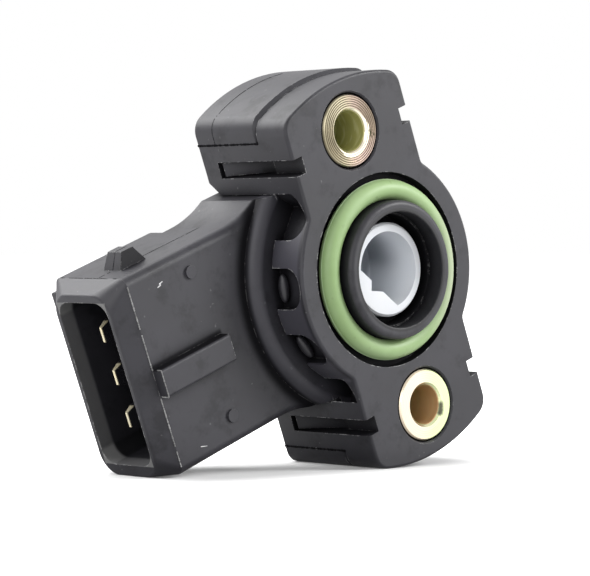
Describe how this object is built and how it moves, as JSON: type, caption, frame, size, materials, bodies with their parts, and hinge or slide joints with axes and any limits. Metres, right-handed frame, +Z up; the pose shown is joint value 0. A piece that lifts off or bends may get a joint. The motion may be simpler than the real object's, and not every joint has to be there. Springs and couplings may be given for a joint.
{
  "type": "throttle position sensor",
  "caption": "Black moulded rotary sensor with a two-ear mounting face, a sealed collar round a white rotor that a throttle shaft turns, and a plug socket with blade terminals at one side.",
  "frame": {"origin": "on the rotor's axis at the mounting face, midway between the two bolt holes", "axes": "-Y out of the mounting face along the rotor's axis, +Z up as it rests on its lower ear and on the lip of its plug, -X towards the plug"},
  "size_m": [0.051, 0.0219, 0.0452],
  "materials": {
    "black_plastic": "satin",
    "plated_sleeve": "plated",
    "green_rubber": "satin",
    "black_rubber": "matte",
    "white_plastic": "satin",
    "spring_steel": "drawn",
    "contact_metal": "stamped",
    "board": "matte",
    "resistor_film": "printed",
    "terminal_metal": "stamped"
  },
  "bodies": {
    "case": {"mounting_flange": "black_plastic", "sensor_housing": "black_plastic", "upper_bush": "plated_sleeve", "lower_bush": "plated_sleeve", "o_ring": "green_rubber", "housing_seal": "black_rubber", "return_spring": "spring_steel", "thrust_washer": "spring_steel", "track_board": "board", "resistor_track": "resistor_film", "collector_track": "contact_metal", "terminal_supply": "terminal_metal", "terminal_signal": "terminal_metal", "terminal_ground": "terminal_metal"},
    "rotor": {"rotor": "white_plastic", "wiper": "contact_metal"}
  },
  "joints": [
    {"name": "rotor_turn", "type": "hinge", "parent": "case", "child": "rotor", "pos_m": [0, 0, 0], "axis": [0, -1, 0], "range_deg": [0, 95], "stiffness_Nm_per_rad": 0.008, "deforming": ["return_spring"]}
  ]
}
